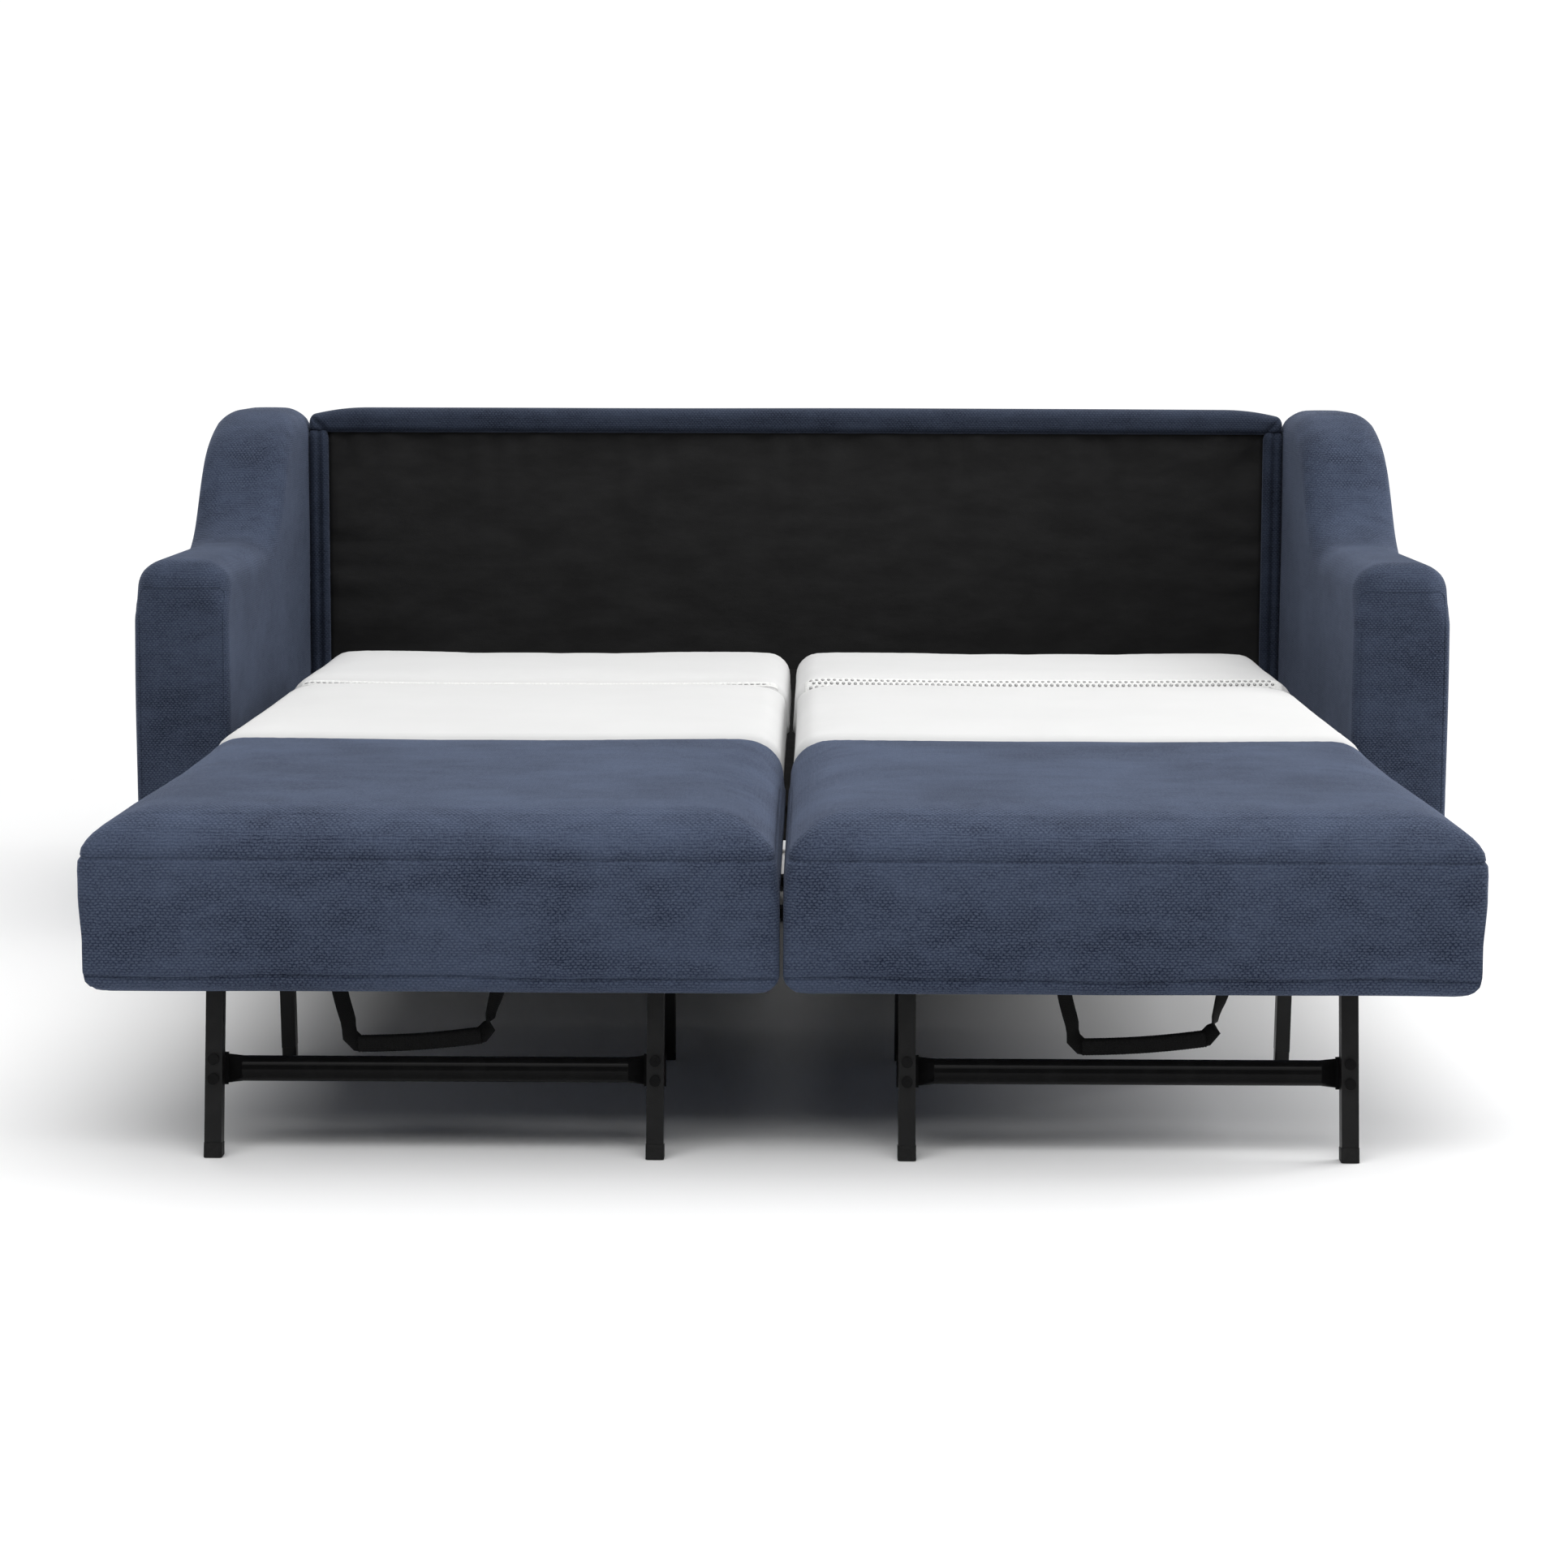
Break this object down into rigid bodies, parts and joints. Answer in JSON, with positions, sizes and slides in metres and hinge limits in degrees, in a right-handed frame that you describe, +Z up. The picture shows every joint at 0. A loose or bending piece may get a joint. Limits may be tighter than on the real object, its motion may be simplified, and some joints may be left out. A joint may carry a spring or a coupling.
{
  "type": "sofa bed",
  "caption": "Sofa bed with blue woven upholstery, shown opened flat: side-by-side folding bed units with blue fronts and white ticking between shaped arms and a low back.",
  "frame": {"origin": "on the floor under the middle of the outline, opened as a bed", "axes": "+Z up, -Y towards the foot of the bed, +X to the right seen from the foot"},
  "size_m": [2.05, 2.367, 0.812],
  "materials": {
    "blue_upholstery": "woven chenille",
    "white_ticking": "quilted knit",
    "white_mesh": "open mesh",
    "black_lining": "matte non-woven",
    "timber": "sawn plywood and pine",
    "black_plastic": "matte",
    "dark_zinc": "dark zinc plated",
    "black_webbing": "ribbed webbing",
    "black_steel": "semi-gloss black paint"
  },
  "bodies": {
    "base": {"arm_feet": "black_plastic", "back_inner_panel": "black_lining", "back_outer_cover": "blue_upholstery", "back_timber_frame": "timber", "back_top_rail_padding": "blue_upholstery", "base_cross_bars": "black_steel", "base_glides": "black_plastic", "base_rail_bolts": "dark_zinc", "base_side_rails": "black_steel", "guide_board": "timber", "guide_channels": "black_steel", "left_arm_frame": "timber", "left_arm_upholstery": "blue_upholstery", "left_back_side_padding": "blue_upholstery", "right_arm_frame": "timber", "right_arm_upholstery": "blue_upholstery", "right_back_side_padding": "blue_upholstery"},
    "left_rear_section": {"left_lift_carriage": "black_steel", "left_rear_frame": "black_steel", "left_rear_mattress": "white_ticking", "left_rear_slats": "timber", "left_seam_mesh": "white_mesh"},
    "left_middle_section": {"left_fold_pins": "dark_zinc", "left_middle_frame": "black_steel", "left_middle_mattress": "white_ticking", "left_middle_slats": "timber"},
    "left_front_section": {"left_crossbar_bolts": "dark_zinc", "left_front_border": "blue_upholstery", "left_front_crossbar": "black_steel", "left_front_frame": "black_steel", "left_front_leg_caps": "black_plastic", "left_front_legs": "black_steel", "left_front_mattress": "blue_upholstery", "left_front_slats": "timber", "left_grip_sleeve": "black_webbing", "left_pull_strap": "black_webbing", "left_rear_leg_rod": "black_steel"},
    "left_rear_leg_pair": {"left_rear_legs": "black_steel"},
    "right_rear_section": {"right_lift_carriage": "black_steel", "right_rear_frame": "black_steel", "right_rear_mattress": "white_ticking", "right_rear_slats": "timber", "right_seam_mesh": "white_mesh"},
    "right_middle_section": {"right_fold_pins": "dark_zinc", "right_middle_frame": "black_steel", "right_middle_mattress": "white_ticking", "right_middle_slats": "timber"},
    "right_front_section": {"right_crossbar_bolts": "dark_zinc", "right_front_border": "blue_upholstery", "right_front_crossbar": "black_steel", "right_front_frame": "black_steel", "right_front_leg_caps": "black_plastic", "right_front_legs": "black_steel", "right_front_mattress": "blue_upholstery", "right_front_slats": "timber", "right_grip_sleeve": "black_webbing", "right_pull_strap": "black_webbing", "right_rear_leg_rod": "black_steel"},
    "right_rear_leg_pair": {"right_rear_legs": "black_steel"}
  },
  "joints": [
    {"name": "left_rear_lowering", "type": "slide", "parent": "base", "child": "left_rear_section", "axis": [0, 0, -1], "range_m": [0, 0.251]},
    {"name": "left_middle_fold", "type": "hinge", "parent": "left_rear_section", "child": "left_middle_section", "pos_m": [0, 0.3435, 0.4085], "axis": [-1, 0, 0], "range_deg": [0, 180]},
    {"name": "left_front_level", "type": "hinge", "parent": "left_middle_section", "child": "left_front_section", "pos_m": [0, -0.3775, 0.283], "axis": [1, 0, 0], "range_deg": [0, 180]},
    {"name": "left_rear_leg_fold", "type": "hinge", "parent": "left_front_section", "child": "left_rear_leg_pair", "pos_m": [0, -0.65572, 0.295], "axis": [-1, 0, 0], "range_deg": [0, 97]},
    {"name": "right_rear_lowering", "type": "slide", "parent": "base", "child": "right_rear_section", "axis": [0, 0, -1], "range_m": [0, 0.251]},
    {"name": "right_middle_fold", "type": "hinge", "parent": "right_rear_section", "child": "right_middle_section", "pos_m": [0, 0.3435, 0.4085], "axis": [-1, 0, 0], "range_deg": [0, 180]},
    {"name": "right_front_level", "type": "hinge", "parent": "right_middle_section", "child": "right_front_section", "pos_m": [0, -0.3775, 0.283], "axis": [1, 0, 0], "range_deg": [0, 180]},
    {"name": "right_rear_leg_fold", "type": "hinge", "parent": "right_front_section", "child": "right_rear_leg_pair", "pos_m": [0, -0.65572, 0.295], "axis": [-1, 0, 0], "range_deg": [0, 97]}
  ],
  "couplings": [
    {"joint": "left_rear_lowering", "follows": "left_middle_fold", "m_per_rad": 0.079895},
    {"joint": "left_front_level", "follows": "left_middle_fold", "ratio": 1},
    {"joint": "left_rear_leg_fold", "follows": "left_middle_fold", "ratio": 0.53888},
    {"joint": "right_rear_lowering", "follows": "right_middle_fold", "m_per_rad": 0.079895},
    {"joint": "right_front_level", "follows": "right_middle_fold", "ratio": 1},
    {"joint": "right_rear_leg_fold", "follows": "right_middle_fold", "ratio": 0.53888}
  ]
}
